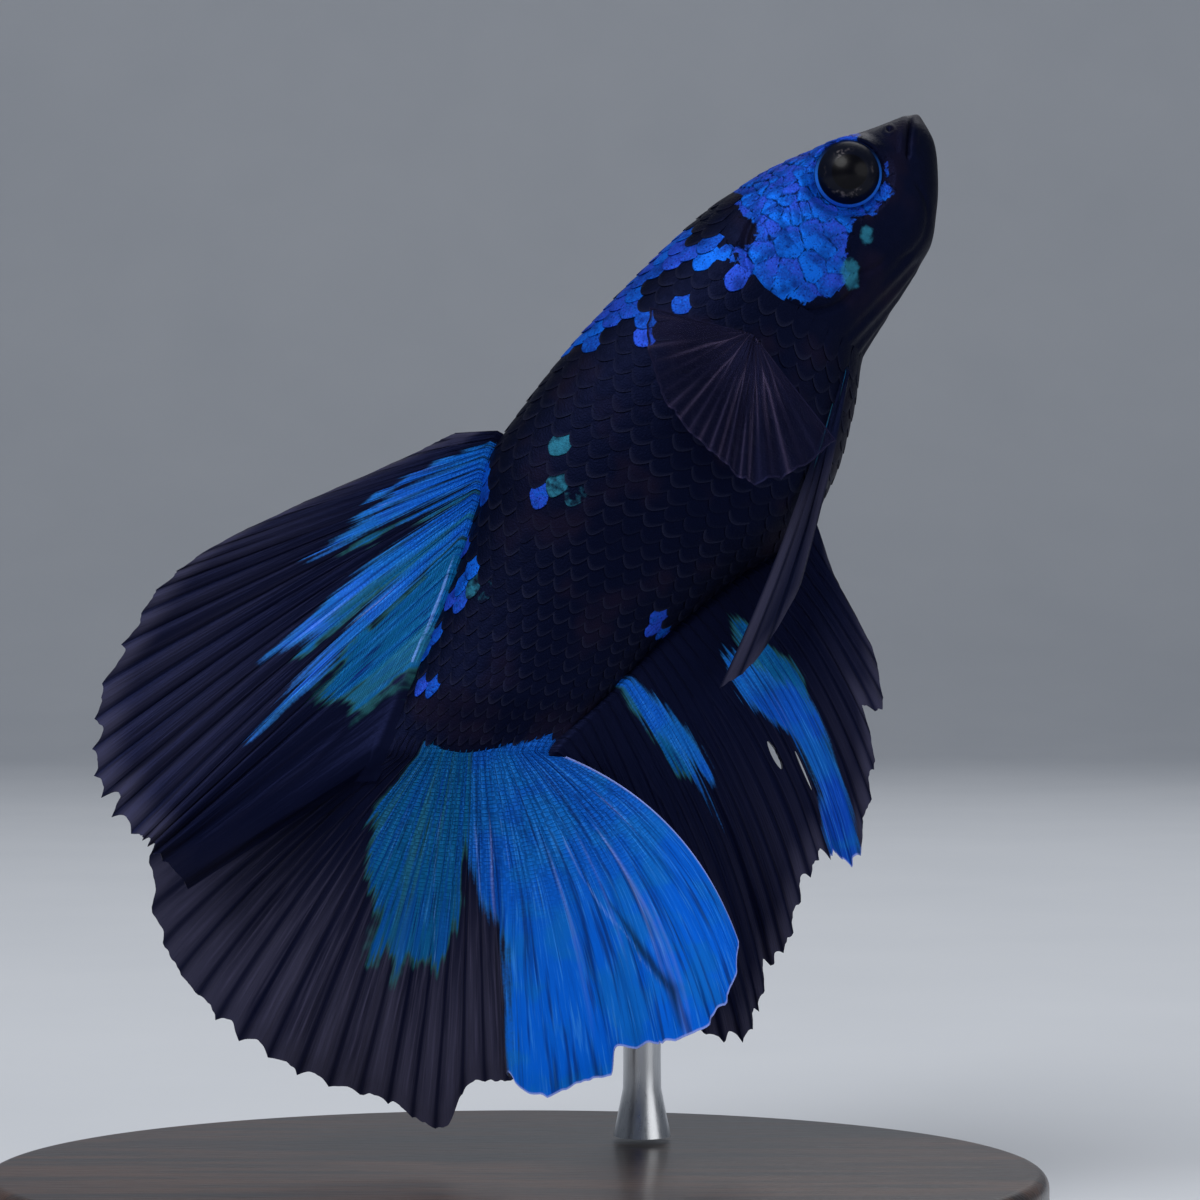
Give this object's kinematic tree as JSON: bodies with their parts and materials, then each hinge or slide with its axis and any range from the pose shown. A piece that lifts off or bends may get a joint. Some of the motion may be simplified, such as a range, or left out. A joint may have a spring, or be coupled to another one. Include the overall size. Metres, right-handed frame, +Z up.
{
  "type": "betta fish model",
  "caption": "Life-size male halfmoon betta, climbing head-up with its long fins spread, held by a bent rod on a flat oval display base.",
  "frame": {"origin": "centre of the stand base's underside", "axes": "+Z up; the fish climbs towards +X and +Z, its right flank faces -Y and its tail hangs towards -X"},
  "size_m": [0.058, 0.042, 0.0618],
  "materials": {
    "body_scales": "blue-black scales with royal-blue patches, satin wet sheen",
    "jaw_skin": "smooth black skin, satin",
    "gill_plate": "crackled royal-blue plates, satin",
    "eye": "glossy black with a thin blue ring",
    "fin_membrane": "ribbed black membrane with iridescent blue and teal streaks, thin at the margin",
    "fin_smoky": "smoky, half-clear, with fine rays",
    "fin_blade": "dark blade with pale green ray streaks",
    "stand_wood": "pale oiled wood, satin",
    "stand_steel": "brushed"
  },
  "bodies": {
    "root": {"head": "body_scales", "lower_jaw": "jaw_skin", "gill_cover_left": "gill_plate", "gill_cover_right": "gill_plate", "eye_left": "eye", "eye_right": "eye", "trunk_front": "body_scales", "trunk_rear": "body_scales", "tail_stalk": "body_scales", "dorsal_fin": "fin_membrane", "anal_fin": "fin_membrane", "caudal_fin": "fin_membrane", "pectoral_fin_left": "fin_smoky", "pectoral_fin_right": "fin_smoky", "pelvic_fin_left": "fin_blade", "pelvic_fin_right": "fin_blade", "stand_base": "stand_wood", "stand_rod": "stand_steel"}
  },
  "joints": []
}
